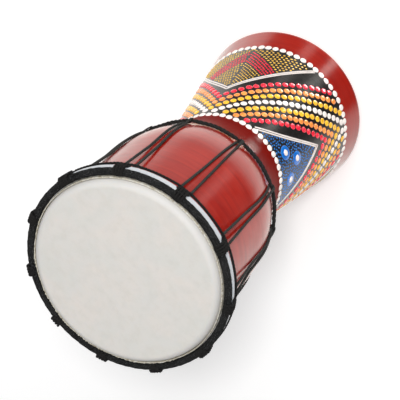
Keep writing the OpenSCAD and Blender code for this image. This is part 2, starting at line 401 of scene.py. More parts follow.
class Nodes:
    """A node tree, with short ways to add the nodes that the finishes and the studio use."""

    def __init__(self, owner, coordinates):
        owner.use_nodes = True
        self.tree = owner.node_tree
        self.place = self.node("TexCoord").outputs[coordinates]

    def feed(self, socket, value):
        """Gives a socket a link or a value."""
        if isinstance(value, bpy.types.NodeSocket):
            self.tree.links.new(value, socket)
        elif isinstance(value, tuple) and len(value) == 3 and len(socket.default_value) == 4:
            socket.default_value = (*value, 1)
        else:
            socket.default_value = value

    def node(self, kind, inputs=(), **settings):
        node = self.tree.nodes.new("ShaderNode" + kind)
        for name, value in settings.items():
            setattr(node, name, value)
        for key, value in dict(inputs).items():
            self.feed(node.inputs[key], value)
        return node

    def scaled(self, x, y, z):
        """The place, with each of its coordinates scaled."""
        return self.node("Mapping", {"Vector": self.place, "Scale": (x, y, z)}).outputs[0]

    def noise(self, scale, detail=3.0, roughness=0.5, distortion=0.0):
        """Noise over the place, scaled by one number or by one for each coordinate."""
        each = isinstance(scale, tuple)
        inputs = {"Vector": self.scaled(*scale) if each else self.place,
                  "Scale": 1.0 if each else scale, "Detail": detail, "Roughness": roughness,
                  "Distortion": distortion}
        return self.node("TexNoise", inputs).outputs["Fac"]

    def ramp(self, value, *stops):
        """stops are (position, colour); a number stands for a grey."""
        node = self.node("ValToRGB", {"Fac": value})
        points = node.color_ramp.elements
        while len(points) < len(stops):
            points.new(0.5)
        for point, (at, colour) in zip(points, stops):
            point.position = at
            point.color = (*colour, 1) if isinstance(colour, tuple) else (colour,) * 3 + (1,)
        return node.outputs["Color"]

    def mix(self, share, a, b, mode="MIX"):
        node = self.node("Mix", data_type="RGBA", blend_type=mode)
        for socket, value in ((node.inputs[0], share), (node.inputs[6], a), (node.inputs[7], b)):
            self.feed(socket, value)
        return node.outputs[2]

    def maths(self, operation, a, b=0.0, c=0.0):
        return self.node("Math", {0: a, 1: b, 2: c}, operation=operation).outputs[0]

    def xyz(self):
        """The three coordinates of the place."""
        return self.node("SeparateXYZ", {0: self.place}).outputs

    def length(self, vector):
        return self.node("VectorMath", {0: vector}, operation="LENGTH").outputs["Value"]

    def beyond(self, value, start, width):
        """0 up to start, and 1 from a width further on."""
        share = self.maths("MULTIPLY", self.maths("SUBTRACT", value, start), 1 / width)
        return self.ramp(share, (0.0, 0.0), (1.0, 1.0))

    def bump(self, height, distance, strength=1.0, under=None):
        inputs = {"Height": height, "Distance": distance, "Strength": strength}
        if under:
            inputs["Normal"] = under
        return self.node("Bump", inputs).outputs[0]


class Finish(Nodes):
    """A material made of nodes, whose place is the place on the drum."""

    def __init__(self, name):
        self.material = bpy.data.materials.new(name)
        super().__init__(self.material, "Object")

    def set(self, **inputs):
        """Gives the shader's inputs values or links, by name with underscores for spaces."""
        for name, value in inputs.items():
            self.feed(self.tree.nodes["Principled BSDF"].inputs[name.replace("_", " ")], value)
        return self.material


def srgb(r, g, b):
    """Linear colour from 0-255 display values."""
    return tuple(c / 12.92 if c <= 0.04045 else ((c + 0.055) / 1.055) ** 2.4
                 for c in (v / 255 for v in (r, g, b)))


# ---- finishes ----

def lacquer():
    """Red stain under clear lacquer, with grain and turning streaks that run round the drum, and
    painted shade on the waist.
    """
    f = Finish("red_lacquered_wood")
    streaks = f.noise((12, 12, 190), detail=7, roughness=0.62, distortion=0.7)
    fine = f.noise((40, 40, 1100), detail=4, roughness=0.7)
    patches = f.noise((9, 9, 22), detail=2)
    colour = f.ramp(streaks, (0.3, srgb(136, 12, 5)), (0.48, srgb(160, 20, 8)),
                    (0.72, srgb(182, 34, 12)))
    colour = f.mix(0.4, colour, f.ramp(patches, (0.3, srgb(140, 15, 6)), (0.7, srgb(184, 36, 13))))
    colour = f.mix(f.ramp(fine, (0.52, 0.0), (0.78, 0.45)), colour, srgb(98, 10, 5))
    # The coat is whole above and below the waist, and rubbed off there but for a spot on one side
    x, _, z = f.xyz()
    height = f.maths("MULTIPLY", z, 2.5)
    coat_unshaded = f.ramp(height, (0.41, 1.0), (0.43, 0.0), (0.535, 0.0), (0.565, 1.0))
    # Painted shade: the red is darkened through the whole waist band, for the narrow waist under
    # the bowl
    colour = f.mix(coat_unshaded, f.mix(0.7, colour, srgb(96, 12, 8)), colour)
    side = f.maths("MULTIPLY_ADD", x, 20, 0.5)
    spot = f.ramp(side, (0.2, 0.0), (0.33, 1.0), (0.45, 1.0), (0.6, 0.0))
    coat_unshaded = f.maths("MAXIMUM", coat_unshaded, spot)
    wear = f.noise(60, detail=5)
    waves = f.noise((40, 40, 120), detail=2)
    return f.set(Base_Color=colour, Roughness=f.ramp(wear, (0.3, 0.3), (0.7, 0.42)),
                 Specular_IOR_Level=f.maths("MULTIPLY_ADD", coat_unshaded, 0.08, 0.03), Coat_Weight=coat_unshaded,
                 Coat_Roughness=f.ramp(wear, (0.3, 0.1), (0.7, 0.2)), Coat_IOR=1.5,
                 Normal=f.bump(streaks, 0.0001, 0.25, f.bump(fine, 0.00008, 0.3)),
                 Coat_Normal=f.bump(fine, 0.00012, 0.5, f.bump(waves, 0.0002, 0.25)))


def bare_wood():
    """The inside: sealed brown wood with tool marks and pores along the trunk."""
    f = Finish("bare_inner_wood")
    fibres = f.noise((260, 260, 9), detail=6, roughness=0.65, distortion=0.4)
    tool_marks = f.noise((14, 14, 320), detail=3)
    pores = f.noise((1500, 1500, 60), detail=2)
    colour = f.ramp(fibres, (0.3, srgb(104, 66, 42)), (0.55, srgb(150, 104, 68)),
                    (0.75, srgb(178, 132, 90)))
    colour = f.mix(f.ramp(pores, (0.6, 0.0), (0.75, 0.6)), colour, srgb(70, 42, 28))
    return f.set(Base_Color=colour, Roughness=0.72,
                 Normal=f.bump(tool_marks, 0.0006, 0.6, f.bump(fibres, 0.0004, 0.5)))


def black_enamel():
    """The painted ground of the foot: satin black, with the wood's grain showing through."""
    f = Finish("black_enamel")
    brush = f.noise((30, 30, 1500), detail=4, roughness=0.7)
    cloud = f.noise(45, detail=4)
    grain = f.ramp(brush, (0.45, 0.0), (0.8, 0.8))
    return f.set(Base_Color=f.mix(grain, srgb(24, 23, 23), srgb(52, 50, 49)),
                 Roughness=f.ramp(cloud, (0.3, 0.3), (0.7, 0.46)), Specular_IOR_Level=0.4,
                 Coat_Weight=0.7, Coat_Roughness=0.14, Coat_Normal=f.bump(brush, 0.0002, 0.5),
                 Normal=f.bump(brush, 0.00025, 0.55))


def dot_paint(name, colour, dark):
    """Thick glossy paint laid on in dabs, each a little uneven."""
    f = Finish("dot_paint_" + name)
    each = f.noise(140, detail=2)
    skin = f.noise(900, detail=3)
    shade = f.ramp(each, (0.35, 0.0), (0.7, 1.0))
    return f.set(Base_Color=f.mix(shade, srgb(*colour), srgb(*dark)),
                 Roughness=f.ramp(skin, (0.3, 0.2), (0.7, 0.32)), Coat_Weight=1.0,
                 Coat_Roughness=0.1, Normal=f.bump(skin, 0.0003, 0.3))


def rawhide():
    """Scraped goat skin: faint warm and cool mottling, hair pores and stretch lines, with painted
    shade over the edge and on the fold.
    """
    f = Finish("goat_rawhide")
    mottle = f.noise(26, detail=5, roughness=0.55, distortion=0.6)
    veins = f.noise((16, 34, 20), detail=7, roughness=0.6, distortion=1.6)
    pores = f.noise(1400, detail=2)
    colour = f.ramp(mottle, (0.32, srgb(222, 216, 210)), (0.5, srgb(218, 215, 210)),
                    (0.68, srgb(215, 214, 209)))
    grit = f.noise(95, detail=4, roughness=0.6)
    colour = f.mix(f.ramp(grit, (0.45, 0.0), (0.75, 0.5)), colour, srgb(206, 203, 196))
    colour = f.mix(f.ramp(veins, (0.5, 0.0), (0.62, 0.06), (0.7, 0.0)), colour,
                   srgb(202, 192, 180))
    out = f.length(f.scaled(1, 1, 0))
    # Painted shade: the skin over the bearing edge is darkened a little, to tone down its highlight
    colour = f.mix(f.beyond(out, 0.0898, 0.004), colour, srgb(212, 210, 207))  # over the edge
    # Painted shade and cool light: the fold round the hoop gets a greyer, bluer copy of the skin's
    # colour; the same mask gives it its coat
    fold_shade_and_gloss = f.beyond(out, 0.1, 0.002)
    colour = f.mix(fold_shade_and_gloss, colour, srgb(192, 195, 199))
    return f.set(Base_Color=colour, Roughness=f.ramp(mottle, (0.3, 0.5), (0.7, 0.62)),
                 Specular_IOR_Level=0.3, Subsurface_Weight=0.12, Subsurface_Scale=0.4,
                 Subsurface_Radius=(0.004, 0.003, 0.002),
                 Coat_Weight=f.maths("MULTIPLY", fold_shade_and_gloss, 0.35), Coat_Roughness=0.2,
                 Normal=f.bump(pores, 0.0001, 0.25, f.bump(mottle, 0.0006, 0.25)))


def skin_edge():
    """The trimmed end of the skin: dry, torn and yellowed."""
    f = Finish("rawhide_trimmed_edge")
    torn = f.noise(420, detail=5, roughness=0.7)
    colour = f.ramp(torn, (0.3, srgb(120, 104, 74)), (0.45, srgb(206, 198, 178)),
                    (0.7, srgb(240, 240, 236)))
    return f.set(Base_Color=colour, Roughness=0.8, Normal=f.bump(torn, 0.0008, 0.7))


def woven_cloth():
    """Black cotton tape: a fine weave, with pale lint caught in it and painted shade in the gaps
    between its threads.
    """
    f = Finish("black_woven_cloth")
    uv = f.node("UVMap").outputs[0]
    slanted = f.node("Mapping", {"Vector": uv, "Rotation": (0, 0, 0.5)}).outputs[0]
    threads = {"Vector": slanted, "Scale": 620, "Distortion": 0.6, "Detail": 1.0}
    warp, weft = (f.node("TexWave", threads, bands_direction=way).outputs["Fac"] for way in "XY")
    weave_and_gap_shade = f.maths("MAXIMUM", warp, weft)
    lint = f.noise(1700, detail=2)
    shade = f.noise(120, detail=3)
    thread = f.ramp(shade, (0.3, srgb(22, 22, 22)), (0.7, srgb(40, 40, 40)))
    # Painted shade: the gaps between the threads are made near black
    colour = f.mix(weave_and_gap_shade, srgb(12, 12, 12), thread)
    colour = f.mix(f.ramp(lint, (0.6, 0.0), (0.7, 0.6)), colour, srgb(130, 130, 132))
    return f.set(Base_Color=colour, Roughness=0.9, Specular_IOR_Level=0.12,
                 Normal=f.bump(weave_and_gap_shade, 0.0003, 0.6, f.bump(lint, 0.0004, 0.5)))


def cord_fibre(name, low, high):
    """Waxed black cotton cord: matt, with fine fibres standing off it."""
    f = Finish(name)
    fibres = f.noise(1300, detail=4, roughness=0.7)
    length = f.noise(240, detail=3)
    ground = f.ramp(length, (0.3, low), (0.7, tuple(c * 1.25 for c in low)))
    return f.set(Base_Color=f.mix(f.ramp(fibres, (0.4, 0.0), (0.72, 1.0)), ground, high),
                 Roughness=0.8, Specular_IOR_Level=0.18, Normal=f.bump(fibres, 0.0004, 0.7))


def steel():
    """Drawn steel rod, with faint rust where it was handled."""
    f = Finish("drawn_steel_rod")
    rust = f.noise(90, detail=6, roughness=0.65)
    draw = f.noise((30, 30, 1800), detail=3)
    rusty = f.ramp(rust, (0.55, 0.0), (0.72, 0.8))
    return f.set(Base_Color=f.mix(rusty, srgb(150, 150, 152), srgb(110, 66, 40)),
                 Metallic=f.ramp(rust, (0.55, 1.0), (0.72, 0.2)),
                 Roughness=f.ramp(draw, (0.3, 0.25), (0.7, 0.45)), Normal=f.bump(draw, 0.0002, 0.3))


PAINTS = {name: dot_paint(name, colour, dark) for name, colour, dark in (
    ("red", (250, 40, 66), (226, 22, 50)),
    ("orange", (255, 158, 74), (244, 136, 54)),
    ("yellow", (250, 192, 40), (240, 174, 26)),
    ("white", (246, 236, 230), (232, 222, 216)),
    ("blue", (0, 114, 206), (0, 100, 190)),
    ("bright_blue", (10, 132, 220), (0, 110, 200)),
    ("ochre", (232, 188, 66), (206, 156, 44)),
)}


# ---- shell ----

ENAMEL_LOW, ENAMEL_HIGH = 36.0, 169.0  # heights of the painted ground's two edges
THINNEST_WALL = 7
LACQUER, ENAMEL, BARE = range(3)  # the shell's material slots


def shell_finish(middle):
    """The material slot of the face at a point of the shell's outline."""
    if middle.x < shell_r(held(middle.y, 1, MOUTH_Z - EDGE_R)) - THINNEST_WALL:
        return BARE
    return ENAMEL if ENAMEL_LOW < middle.y < ENAMEL_HIGH else LACQUER


def build_shell():
    """The goblet, with its hollow, turned in one piece."""
    corners = [corner_arc(i) for i in range(len(SHELL_CORNERS))]
    outline = []
    for corner, onward in zip(corners, corners[1:] + corners[:1]):
        outline += filled_in(corner + [onward[0]], step=2.4)[:-1]
    slots = [shell_finish((p + q) / 2) for p, q in zip(outline, outline[1:] + outline[:1])]
    solid = Solid()
    turned(solid, outline, segments=256, slots=slots)
    piece = solid.build("goblet_shell", "lacquered_wood", lacquer(), black_enamel(), bare_wood())
    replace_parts(piece, "shell")


# ---- painting on the foot ----

rng = random.Random(11)


def on_foot(angle, z, height=0.0):
    """A point on the foot's outside, raised off the wood by height."""
    slope = wood_slope(z)
    tilt = math.hypot(1, slope)
    return around(shell_r(z) + height / tilt, angle, z - height * slope / tilt)


def moved(angle, z, across, up):
    """The angle and height reached by going across round the drum and up along the wood."""
    z1 = z + up / math.hypot(1, wood_slope(z))
    return angle + math.degrees(across / shell_r(z1)), z1


# Rings of a dab as (share of its radius, share of its height), from its edge to its top
LARGE_DAB = (1.0, 0.0), (0.93, 0.5), (0.68, 0.88), (0.34, 1.0)
SMALL_DAB = (0.95, 0.4), (0.5, 1.0)
ON_DISC = (1.0, 0.45), (0.9, 0.9), (0.6, 1.15), (0.3, 1.25)
SUNK = 0.25  # how deep the paint's underside lies in the wood


def dab(solid, angle, z, length, width, tilt, height, sides, rings=LARGE_DAB):
    """A raised oval of paint; tilt is its long axis's angle from the level, in degrees."""
    c, s = math.cos(math.radians(tilt)), math.sin(math.radians(tilt))

    def at(radius, turn, rise):
        x, y = radius * length / 2 * math.cos(turn), radius * width / 2 * math.sin(turn)
        return on_foot(*moved(angle, z, x * c - y * s, x * s + y * c), rise)

    rows = [[at(1.0, TAU * k / sides, -SUNK) for k in range(sides)]]
    rows += [[at(radius, TAU * k / sides, rise * height) for k in range(sides)]
             for radius, rise in rings]
    solid.grid(rows, [0] * (sides + 1), [0] * (len(rows) + 1))


# A painted line's section as (share of its half width, share of its height)
STROKE = (-1, -0.8), (-0.95, 0.45), (-0.5, 0.95), (0.5, 0.95), (0.95, 0.45), (1, -0.8)


def stroke(solid, line, width, height):
    """A raised painted line through points given as (angle, z)."""
    rows = []
    for i, (angle, z) in enumerate(line):
        (a0, z0), (a1, z1) = along_path(line, i - 1), along_path(line, i + 1)
        x, y = math.radians(a1 - a0) * shell_r(z), (z1 - z0) * math.hypot(1, wood_slope(z))
        long = math.hypot(x, y)
        x, y = x / long, y / long
        w = width / 2 * (1 + 0.1 * noise.noise((angle * 0.3, z * 0.2, width)))
        rows.append([on_foot(*moved(angle, z, -y * w * side, x * w * side), rise * height)
                     for side, rise in STROKE])
    solid.grid(rows, range(len(STROKE) + 1), range(len(rows) + 1))


def bowed(start, stop, bow, count=28):
    """Points from start to stop, each (angle, z), raised in the middle by bow."""
    return [(start[0] + (stop[0] - start[0]) * k / count,
             start[1] + (stop[1] - start[1]) * k / count + bow * math.sin(math.pi * k / count))
            for k in range(count + 1)]


# The motif: a zigzag of seven rows of dots, with a triangle above each trough and one below each
# crest. It comes twice round the foot. Angles are measured from the front of the drum (-Y).
FRONT = -90
TROUGH, CREST = (-45, 35.8), (52.5, 167.3)
ROW_STEP_LOW, ROW_STEP_HIGH = 13.7, 10.9  # between rows at the troughs and at the crests
ROW_PAINTS = ["red", "orange", "yellow", "white", "yellow", "orange", "red"]  # from the top
DOT_PITCH = 8.1
DOT_CLEAR_LOW, DOT_CLEAR_HIGH = 4.4, 4.2  # from the ground's edges to the nearest dots
OUTLINE_OFFSET, OUTLINE_W, THIN_PAINT = 1.25, 1.75, 0.35
BLUE_TRIANGLE = [((-82, 162), (-44.5, 94.2), -1.5), ((-44.5, 94.2), (6, 166), 9.5)]
OCHRE_TRIANGLE = [((0.5, 38.5), (50.5, 118.5), 6.5), ((50.5, 118.5), (103, 38), 11)]
BLUE_DISCS = [(-56.3, 148.2), (-30, 150.2), (-41.4, 133.6)]
SCATTER_TRIES = 9000


def zigzag(angle, row):
    """Height of one of the zigzag's rows; the legs bow upwards and the rows close up at a crest."""
    turn = (angle - TROUGH[0]) % 180
    rise = CREST[0] - TROUGH[0]
    share, bow = (turn / rise, 0.31) if turn < rise else ((180 - turn) / (180 - rise), 0.2)
    step = ROW_STEP_LOW + (ROW_STEP_HIGH - ROW_STEP_LOW) * share
    share += bow * share * (1 - share)
    return TROUGH[1] + (CREST[1] - TROUGH[1]) * share + (len(ROW_PAINTS) // 2 - row) * step


def arm_height(triangle, angle):
    """Height of a triangle's outline at an angle, or None beside it."""
    for start, stop, bow in triangle:
        if start[0] <= angle <= stop[0]:
            share = (angle - start[0]) / (stop[0] - start[0])
            return start[1] + (stop[1] - start[1]) * share + bow * math.sin(math.pi * share)
    return None


def dots_along(line, pitch):
    """Places every pitch millimetres along a line of (angle, z), with the line's tilt at each."""
    marks = [0.0]
    for (a0, z0), (a1, z1) in zip(line, line[1:]):
        marks.append(marks[-1] + (on_foot(a1, z1) - on_foot(a0, z0)).length)
    count = round(marks[-1] / pitch)
    result = []
    for k in range(count + 1):
        at = marks[-1] * k / count
        i = held(bisect.bisect(marks, at), 1, len(marks) - 1)
        share = (at - marks[i - 1]) / (marks[i] - marks[i - 1])
        (a0, z0), (a1, z1) = line[i - 1], line[i]
        tilt = math.degrees(math.atan2((z1 - z0) * math.hypot(1, wood_slope(z0)),
                                       math.radians(a1 - a0) * shell_r(z0)))
        result.append((a0 + (a1 - a0) * share, z0 + (z1 - z0) * share, tilt))
    return result


def large_dot(solid, angle, z, tilt, width=6.3):
    """A dot 7 mm long, as uneven as one laid on by hand."""
    dab(solid, angle + rng.gauss(0, 0.12), z + rng.gauss(0, 0.2),
        7.0 * rng.uniform(0.94, 1.06), width * rng.uniform(0.94, 1.06),
        tilt + rng.gauss(0, 4), rng.uniform(0.75, 0.95), sides=18)


def small_dab(solid, angle, z, length, width, tilt):
    dab(solid, angle, z, length, width, tilt, THIN_PAINT, sides=8, rings=SMALL_DAB)


def paint_zigzag(solids, base):
    """The rows, one leg at a time, so that a dot sits in each corner."""
    steps = 80
    for row, paint in enumerate(ROW_PAINTS):
        for a0, a1 in ((TROUGH[0], CREST[0]), (CREST[0], TROUGH[0] + 180)):
            places = [a0 + (a1 - a0) * k / steps for k in range(steps + 1)]
            line = [(a, zigzag(a, row)) for a in places]
            for angle, z, tilt in dots_along(line, DOT_PITCH)[:-1]:
                if ENAMEL_LOW + DOT_CLEAR_LOW < z < ENAMEL_HIGH - DOT_CLEAR_HIGH:
                    large_dot(solids[paint], base + angle, z, tilt)


def paint_outlines(solids, base):
    """Two lines, side by side, along both arms of each triangle."""
    for triangle in (BLUE_TRIANGLE, OCHRE_TRIANGLE):
        line = [p for arm in triangle for p in bowed(*arm)]
        for offset in (-OUTLINE_OFFSET, OUTLINE_OFFSET):
            shifted = [(base + a, z + offset * 1.35) for a, z in line]
            stroke(solids["outline"], shifted, OUTLINE_W, THIN_PAINT)


def paint_blue_triangle(solids, base):
    """Three ringed discs among a scatter of small dabs that keep clear of them and each other."""
    for angle, z in BLUE_DISCS:
        dab(solids["blue"], base + angle, z, 15.4, 15, tilt=0, height=0.5, sides=40)
        dab(solids["white"], base + angle, z, 6.6, 6.3, tilt=0, height=1.0, sides=20, rings=ON_DISC)
    discs = [on_foot(base + a, h) for a, h in BLUE_DISCS]
    placed, off_disc, spacing = [], 9, 2.55
    for _ in range(SCATTER_TRIES):
        angle, z = rng.uniform(-82, 6), rng.uniform(96, ENAMEL_HIGH - 4.5)
        edge = arm_height(BLUE_TRIANGLE, angle)
        if edge is None or z < edge + 4.2:
            continue
        spot = on_foot(base + angle, z)
        if any((p - spot).length < off_disc for p in discs):
            continue
        if any((p - spot).length < spacing for p in placed):
            continue
        placed.append(spot)
        small_dab(solids["small_blue"], base + angle, z, rng.uniform(2.2, 3.0),
                  rng.uniform(1.4, 1.8), rng.gauss(90, 40))


def paint_ochre_triangle(solids, base):
    """Small dabs in nested V rows, five of them red, coarser above on one side."""
    apex_angle, apex_z, flat_r = 50.6, 45.5, 78
    lean = math.radians(40)
    red_rows, row_step = 5, 3.4
    for side in (-1, 1):
        for row in range(-14, 26):
            red, coarse = 0 <= row < red_rows, side < 0 and row < 0
            if coarse:
                q, dab_step = row * 3.9 - 0.2, 4.1
            else:
                q, dab_step = row * row_step, 3.3 if red else 3.2
                q += 0 if red else math.copysign(0.2, row)
            for k in range(-12, 50):
                p = (k + (0.5 if row % 2 else 0.0)) * dab_step
                x = p * math.cos(lean) - q * math.sin(lean) + rng.gauss(0, 0.2)
                y = p * math.sin(lean) + q * math.cos(lean) + rng.gauss(0, 0.2)
                length, width = rng.uniform(2.1, 2.6), rng.uniform(1.6, 1.9)
                if coarse or red:
                    length, width = length * 1.25, width * 1.3
                if x < 1.1:
                    continue
                angle, z = apex_angle + side * math.degrees(x / flat_r), apex_z + y
                edge = arm_height(OCHRE_TRIANGLE, angle)
                if edge is None or z > edge - 4.6 or z < ENAMEL_LOW + 5:
                    continue
                small_dab(solids["small_red" if red else "ochre"], base + angle, z, length, width,
                          15 if coarse else side * 40)


def paint_borders(solids):
    """A row of white dots along each edge of the painted ground."""
    for z, count in ((ENAMEL_HIGH, 54), (ENAMEL_LOW, 65)):
        for k in range(count):
            angle = 360 * k / count
            wave = math.sin(math.radians(angle - FRONT))
            large_dot(solids["white"], angle, z + 0.9 * wave, 0, 6.9)


# What is painted: its paint, and the name of its piece
PAINTED = {name: (name, name + "_dots")
           for name in ("red", "orange", "yellow", "white", "blue", "ochre")}
PAINTED["outline"] = ("white", "triangle_outlines")
PAINTED["small_blue"] = ("bright_blue", "small_blue_dabs")
PAINTED["small_red"] = ("red", "small_red_dabs")
DOT_PIECES = bpy.data.collections.new("large_dots")


def build_painting():
    solids = {key: Solid() for key in PAINTED}
    for base in (FRONT, FRONT + 180):
        for part in (paint_zigzag, paint_outlines, paint_blue_triangle, paint_ochre_triangle):
            part(solids, base)
    paint_borders(solids)
    for key, (paint, name) in PAINTED.items():
        piece = solids[key].build("painted_" + name, "lacquered_wood", PAINTS[paint])
        if name.endswith("_dots"):
            DOT_PIECES.objects.link(piece)


# ---- head ----

SKIN_END = (98.4, CROWN_Z - 2)
COLLAR_R = 98.2


def skin_middle():
    """Middle line of the skin, from the head's centre to the top of its fold."""
    edge_centre = (MOUTH_R - EDGE_R, MOUTH_Z - EDGE_R)
    over_edge = arc(edge_centre, EDGE_R + SNUG + SKIN_T / 2, 90, 5, 0.6)
    round_hoop = arc((HOOP_R, HOOP_Z), HOOP_ROD + SNUG + SKIN_T / 2, 175, 495, 0.5)
    flat = [Vector((0, edge_centre[1] + EDGE_R + SNUG + SKIN_T / 2)), over_edge[0]]
    return filled_in(flat, 3)[:-1] + filled_in(over_edge + round_hoop, 0.8) \
        + filled_in([round_hoop[-1], Vector(SKIN_END)], 0.8)[1:]


def both_sides(path, thickness):
    """Closed outline of a strip of this thickness along a path."""
    sides = ([], [])
    for i, p in enumerate(path):
        u = (along_path(path, i + 1) - along_path(path, i - 1)).normalized()
        for side, sign in zip(sides, (1, -1)):
            side.append(p + sign * thickness / 2 * Vector((-u.y, u.x)))
    return sides[0] + sides[1][::-1]


def skin_wobble(turn, r, z):
    """Small unevenness of hand-stretched rawhide; the playing face stays flat."""
    return 0 if r < MOUTH_R - 2 else 0.12 * noise.noise(turned_to(3, turn, z * 0.05))


def build_skin():
    """The sheet. Its two faces end near the axis, where the caps close them."""
    solid = Solid()
    outline = [p for p in both_sides(skin_middle(), SKIN_T) if p.x > 1]
    turned(solid, outline, segments=320, closed=False, wobble=skin_wobble)
    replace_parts(solid.build("drum_skin_rawhide", "rawhide", rawhide()), "drum_skin")


def build_collar():
    """The trimmed end of the skin, standing unevenly inside the crown ring."""
    solid = Solid()
    segments, levels, half_t = 900, 6, 0.42
    count, bottom = 2 * levels, HOOP_Z + 3.4

    def at(i, turn):
        outer = i < levels
        share = (i if outer else count - 1 - i) / (levels - 1)
        wave, ragged, tooth = (noise.noise(turned_to(reach, turn, height))
                               for reach, height in ((4, 7), (55, 3), (160, 1)))
        top = CROWN_Z + 3.2 + 1.1 * wave + 0.9 * ragged + 0.5 * tooth
        lean = COLLAR_R - 0.5 * share + 0.5 * share * (wave + 0.7 * ragged)
        return (lean + (half_t if outer else -half_t) * (1 - 0.35 * share),
                bottom + (top - bottom) * share)

    solid.grid(rings(count, segments, at), lengths_round(98, segments), range(count + 1),
               closed=True)
    solid.build("drum_skin_trimmed_collar", "rawhide", skin_edge())


def build_crown_cloth():
    """Cloth tape wound slantwise round the crown ring, each turn lapped over the last."""
    solid = Solid()
    laps, sides = 66, 28
    segments = laps * 14

    def at(i, turn):
        section = TAU * i / sides
        phase = (laps * turn / TAU + section / TAU) % 1.0
        lap = 0.26 * (1 - phase) ** 1.6 - 0.12
        fold = 0.14 * noise.noise(turned_to(30, turn, section * 0.8))
        radius = CROWN_SECTION - 0.12 + lap + fold
        return CROWN_R + radius * math.cos(section), CROWN_Z + radius * math.sin(section)

    solid.grid(rings(sides, segments, at), lengths_round(CROWN_R, segments),
               lengths_round(CROWN_SECTION, sides), closed=True)
    piece = solid.build("crown_ring_cloth_tape", "black_cloth", woven_cloth())
    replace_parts(piece, "crown_ring_cloth")


# ---- lacing ----

CORD = cord_fibre("black_lacing_cord", srgb(14, 13, 13), srgb(44, 43, 42))
RUN_CORD = cord_fibre("black_run_cord", srgb(34, 34, 33), srgb(78, 79, 76))
HEAVY_CORD = cord_fibre("black_waist_cord", srgb(20, 20, 20), srgb(58, 58, 56))
RUN_PITCH, HITCH_PITCH, LINK_PITCH, RING_PITCH, KNOT_PITCH = 11.5, 10.5, 11, 15, 10
WOOD_LEAN = math.atan(wood_slope(RING_HIGH_Z))
HOOK_R = PINCHED_R + HOOK_GAP + PRESSED_HALF_T
ANCHOR_R = off_wood(RING_HIGH_Z, WOOD_GAP + PRESSED_HALF_T + HOOK_R)
ANCHOR_TURN = half_angle(2 * PRESSED_HALF_W + GAP, ANCHOR_R)


def anchor_angle(hitch):
    """Where the run from a hitch meets the waist ring; not quite below it, as in the photo."""
    return hitch - 1.5 + 5 * math.sin(math.radians(2 * (hitch + 80)))


def pressed(z):
    """How far a run's cord is flattened at a height: 0 on the bowl, 1 at the waist ring."""
    return held(1 - (z - RING_HIGH_Z) / PRESS_LENGTH)


def half_thickness(z):
    return LACE_D / 2 + (PRESSED_HALF_T - LACE_D / 2) * pressed(z)


def run_press(p):
    wide = 1 + (2 * PRESSED_HALF_W / LACE_D - 1) * pressed(p.z)
    return wide, half_thickness(p.z) / (LACE_D / 2)


def lie_r(z, lift=0.0):
    """Radius of a run's middle where it lies on the wood, or is lifted off it."""
    return off_wood(z, WOOD_GAP + half_thickness(z) + lift)


def strand_r(z, lift):
    """Radius of a strand's middle: straight to the bowl's bulge, then along the wood."""
    if z > LEAVE_BOWL_Z:
        touch_r = lie_r(LEAVE_BOWL_Z)
        share = (z - LEAVE_BOWL_Z) / (LACE_TOP_Z - LEAVE_BOWL_Z)
        return max(lie_r(z), touch_r + (LACE_TOP_R - touch_r) * share)
    return lie_r(z, lift * max(0, 1 - (z - RING_HIGH_Z) / RISE_LENGTH))


def strand(hitch, side, lift):
    """Points of one strand from the crown down to the waist ring."""
    top = hitch + side * half_angle(2 * STRAND_OFFSET, LACE_TOP_R)
    bottom = anchor_angle(hitch) + side * ANCHOR_TURN
    points = []
    for z in (LACE_TOP_Z, 365, 345, 325, LEAVE_BOWL_Z, 300, 285, 270, 255, 246, 241, 236, 230):
        share = (z - RING_HIGH_Z) / (LACE_TOP_Z - RING_HIGH_Z)
        points.append(around(strand_r(z, lift), bottom + (top - bottom) * share, z))
    return points


def build_run(node, hitch, phase):
    """Two strands and the hook between them that passes under the waist ring."""
    front, back = strand(hitch, -1, 2 * HOOK_R), strand(hitch, 1, 0)
    hook, steps, first_turn = [], 8, 16
    for k in range(steps + 1):
        a = math.radians(first_turn - (180 + first_turn) * k / steps) - WOOD_LEAN
        hook.append(around(ANCHOR_R + HOOK_R * math.cos(a),
                           anchor_angle(hitch) + ANCHOR_TURN * (2 * k / steps - 1),
                           RING_HIGH_Z + HOOK_R * math.sin(a)))
    solid = Solid()
    solid.cord(front + hook + back[::-1], LACE_D, RUN_PITCH, phase=phase, press=run_press)
    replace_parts(solid.build("laced_" + node, "black_cord", RUN_CORD), node)


def hitch_route(cord_r):
    """Where a hitch's cord passes: its middle as (r, z) points, over the crown ring and down past
    the fold, each with the share that it keeps of its full thickness, least at the inner end."""
    inner_end = 128
    shares = [(a, min(1.0, 0.3 + 0.7 * (inner_end - a) / 60)) for a in range(inner_end, 10, -18)]
    shares.append((4, 1.0))
    over_ring = [(on_circle((CROWN_R, CROWN_Z), CROWN_SECTION + 0.05 + cord_r * share, a), share)
                 for a, share in shares]
    return over_ring + [(on_circle((HOOP_R, HOOP_Z), HOOP_ROD + SKIN_T + 0.1 + cord_r, a), 1.0)
                        for a in (-6, -24)]


# A bight's places: (share of its half width, how far it stands out, how high it stands)
BIGHT = ((-1.0, -1.2, -2.6), (-0.84, 0.1, -1.3), (-0.48, 0.9, 0.0), (0, 1.2, 0.5),
         (0.48, 0.9, 0.0), (0.84, 0.1, -1.5), (1.0, -1.2, -2.7))
BIGHTS = (1.3, 6.6, 3.6), (-1.8, 5.2, 3.0)  # of a hitch: (height, half width, thickness)


